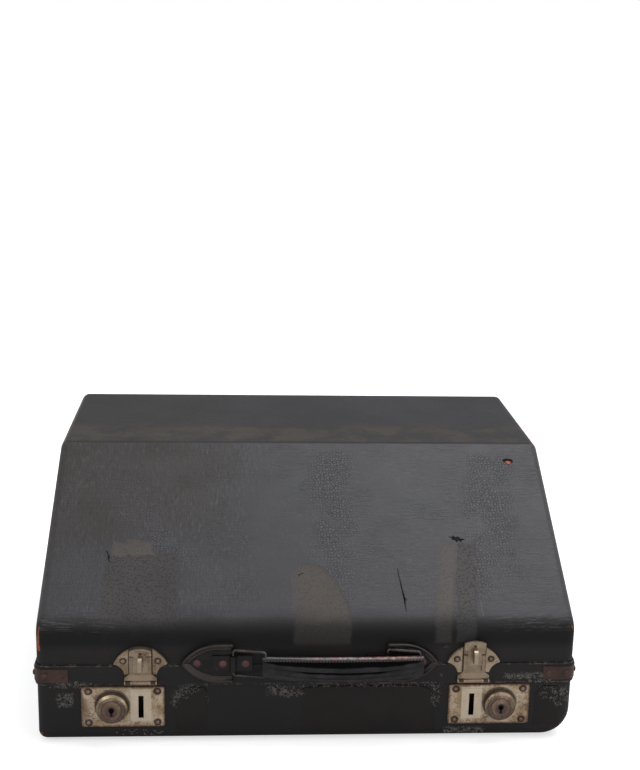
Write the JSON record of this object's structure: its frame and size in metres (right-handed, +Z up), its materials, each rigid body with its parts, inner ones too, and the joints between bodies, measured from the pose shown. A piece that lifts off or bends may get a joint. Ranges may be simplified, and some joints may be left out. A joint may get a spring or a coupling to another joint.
{
  "type": "accordion case",
  "caption": "Hard accordion case: low tray, wedge lid on back hinges with folding stays, sliding-staple hasps, push-button locks, leather carrying handle on wire rings",
  "frame": {"origin": "on the ground, under the middle of the case's overall box", "axes": "+X to the case's right as its locks face the viewer, +Y to its back where the hinges are, +Z up"},
  "size_m": [0.5284, 0.4508, 0.242],
  "materials": {
    "covered_plywood": "worn black grained leatherette glued over plywood",
    "fibreboard": "dark pressed fibreboard strip",
    "lining": "wine-red cotton velvet lining",
    "rubber": "matt black rubber",
    "rim_fibre": "black hardened fibre band, rubbed along its edge",
    "patch_fibre": "dark brown fibre corner piece, worn",
    "nail_steel": "tarnished, partly rusted steel",
    "hardware_steel": "nickelled pressed steel, tarnished with rust-brown edges",
    "nickel": "dull worn nickel plate",
    "handle_leather": "black leather, rubbed red-brown along its edges"
  },
  "bodies": {
    "tray": {"base_shell": "covered_plywood", "base_lip": "fibreboard", "base_lining": "lining", "bolster_left": "lining", "bolster_right": "lining", "bottom_glides": "rubber", "back_feet_base": "rubber", "lock_plate_left": "hardware_steel", "lock_plate_right": "hardware_steel", "lock_plate_nails": "nail_steel", "lock_box_left": "hardware_steel", "lock_box_right": "hardware_steel", "hinge_base_leaf_left": "hardware_steel", "hinge_base_leaf_right": "hardware_steel", "hinge_pin_left": "nail_steel", "hinge_pin_right": "nail_steel", "hinge_nails_base": "nail_steel", "stay_base_bracket_left": "hardware_steel", "stay_base_bracket_right": "hardware_steel"},
    "lid": {"lid_shell": "covered_plywood", "lid_lining": "lining", "lid_rim": "rim_fibre", "corner_patch_front_left": "patch_fibre", "corner_patch_front_right": "patch_fibre", "corner_patch_back_left": "patch_fibre", "corner_patch_back_right": "patch_fibre", "corner_nails": "nail_steel", "hinge_lid_leaf_left": "hardware_steel", "hinge_lid_leaf_right": "hardware_steel", "hinge_nails_lid": "nail_steel", "back_feet_lid": "rubber", "fan_plate_left": "hardware_steel", "fan_plate_right": "hardware_steel", "fan_rivets": "nail_steel", "hasp_pin_left": "nail_steel", "hasp_pin_right": "nail_steel", "chape_left": "handle_leather", "chape_right": "handle_leather", "chape_rivets": "nail_steel", "stay_lid_bracket_left": "hardware_steel", "stay_lid_bracket_right": "hardware_steel"},
    "hasp_left": {"hasp_leaf_left": "hardware_steel"},
    "hasp_right": {"hasp_leaf_right": "hardware_steel"},
    "slide_left": {"hasp_slide_left": "hardware_steel"},
    "slide_right": {"hasp_slide_right": "hardware_steel"},
    "button_left": {"lock_button_left": "nickel"},
    "button_right": {"lock_button_right": "nickel"},
    "plug_left": {"key_plug_left": "nickel"},
    "plug_right": {"key_plug_right": "nickel"},
    "bolt_left": {"lock_bolt_left": "hardware_steel"},
    "bolt_right": {"lock_bolt_right": "hardware_steel"},
    "ring_left": {"ring_left": "nickel"},
    "ring_right": {"ring_right": "nickel"},
    "handle": {"handle_grip": "handle_leather", "handle_core": "hardware_steel"},
    "stay_lower_left": {"stay_lower_bar_left": "hardware_steel"},
    "stay_lower_right": {"stay_lower_bar_right": "hardware_steel"},
    "stay_upper_left": {"stay_upper_bar_left": "hardware_steel"},
    "stay_upper_right": {"stay_upper_bar_right": "hardware_steel"}
  },
  "joints": [
    {"name": "lid_hinge", "type": "hinge", "parent": "tray", "child": "lid", "pos_m": [0, 0.2135, 0.062], "axis": [-1, 0, 0], "range_deg": [0, 100]},
    {"name": "hasp_left_hinge", "type": "hinge", "parent": "lid", "child": "hasp_left", "pos_m": [-0.1606, -0.2146, 0.0656], "axis": [1, 0, 0], "range_deg": [0, 180]},
    {"name": "hasp_right_hinge", "type": "hinge", "parent": "lid", "child": "hasp_right", "pos_m": [0.1606, -0.2146, 0.0656], "axis": [1, 0, 0], "range_deg": [0, 180]},
    {"name": "hasp_left_slide", "type": "slide", "parent": "hasp_left", "child": "slide_left", "axis": [0, 0, 1], "range_m": [0, 0.006]},
    {"name": "hasp_right_slide", "type": "slide", "parent": "hasp_right", "child": "slide_right", "axis": [0, 0, 1], "range_m": [-0.006, 0]},
    {"name": "button_left_push", "type": "slide", "parent": "tray", "child": "button_left", "axis": [0, 1, 0], "range_m": [0, 0.0026], "stiffness_N_per_m": 600, "springref_m": -0.002},
    {"name": "button_right_push", "type": "slide", "parent": "tray", "child": "button_right", "axis": [0, 1, 0], "range_m": [0, 0.0026], "stiffness_N_per_m": 600, "springref_m": -0.002},
    {"name": "key_left_turn", "type": "hinge", "parent": "button_left", "child": "plug_left", "pos_m": [-0.1882, -0.21, 0.0396], "axis": [0, 1, 0], "range_deg": [0, 90]},
    {"name": "key_right_turn", "type": "hinge", "parent": "button_right", "child": "plug_right", "pos_m": [0.1882, -0.21, 0.0396], "axis": [0, -1, 0], "range_deg": [0, 90]},
    {"name": "bolt_left_slide", "type": "slide", "parent": "tray", "child": "bolt_left", "axis": [1, 0, 0], "range_m": [0, 0.00495]},
    {"name": "bolt_right_slide", "type": "slide", "parent": "tray", "child": "bolt_right", "axis": [-1, 0, 0], "range_m": [0, 0.00495]},
    {"name": "ring_left_swing", "type": "hinge", "parent": "lid", "child": "ring_left", "pos_m": [-0.07235, -0.2148, 0.0866], "axis": [0, 0, -1], "range_deg": [0, 157]},
    {"name": "ring_right_swing", "type": "hinge", "parent": "lid", "child": "ring_right", "pos_m": [0.07615, -0.2148, 0.0866], "axis": [0, 0, -1], "range_deg": [0, 157]},
    {"name": "handle_swing", "type": "hinge", "parent": "ring_left", "child": "handle", "pos_m": [-0.04135, -0.221, 0.0866], "axis": [0, 0, -1], "range_deg": [-157, 0]},
    {"name": "stay_left_lower_turn", "type": "hinge", "parent": "tray", "child": "stay_lower_left", "pos_m": [-0.2495, 0.09, 0.042], "axis": [-1, 0, 0], "range_deg": [0, 100]},
    {"name": "stay_right_lower_turn", "type": "hinge", "parent": "tray", "child": "stay_lower_right", "pos_m": [0.2495, 0.09, 0.042], "axis": [-1, 0, 0], "range_deg": [0, 100]},
    {"name": "stay_left_upper_turn", "type": "hinge", "parent": "lid", "child": "stay_upper_left", "pos_m": [-0.2465, 0.155, 0.14], "axis": [-1, 0, 0], "range_deg": [-100, 0]},
    {"name": "stay_right_upper_turn", "type": "hinge", "parent": "lid", "child": "stay_upper_right", "pos_m": [0.2465, 0.155, 0.14], "axis": [-1, 0, 0], "range_deg": [-100, 0]}
  ],
  "couplings": [
    {"joint": "ring_right_swing", "follows": "ring_left_swing", "ratio": 1},
    {"joint": "handle_swing", "follows": "ring_left_swing", "ratio": -1},
    {"joint": "key_left_turn", "follows": "bolt_left_slide", "rad_per_m": 317.33},
    {"joint": "key_right_turn", "follows": "bolt_right_slide", "rad_per_m": 317.33},
    {"joint": "stay_left_lower_turn", "follows": "lid_hinge", "ratio": 1},
    {"joint": "stay_right_lower_turn", "follows": "lid_hinge", "ratio": 1},
    {"joint": "stay_left_upper_turn", "follows": "lid_hinge", "ratio": -1},
    {"joint": "stay_right_upper_turn", "follows": "lid_hinge", "ratio": -1}
  ]
}
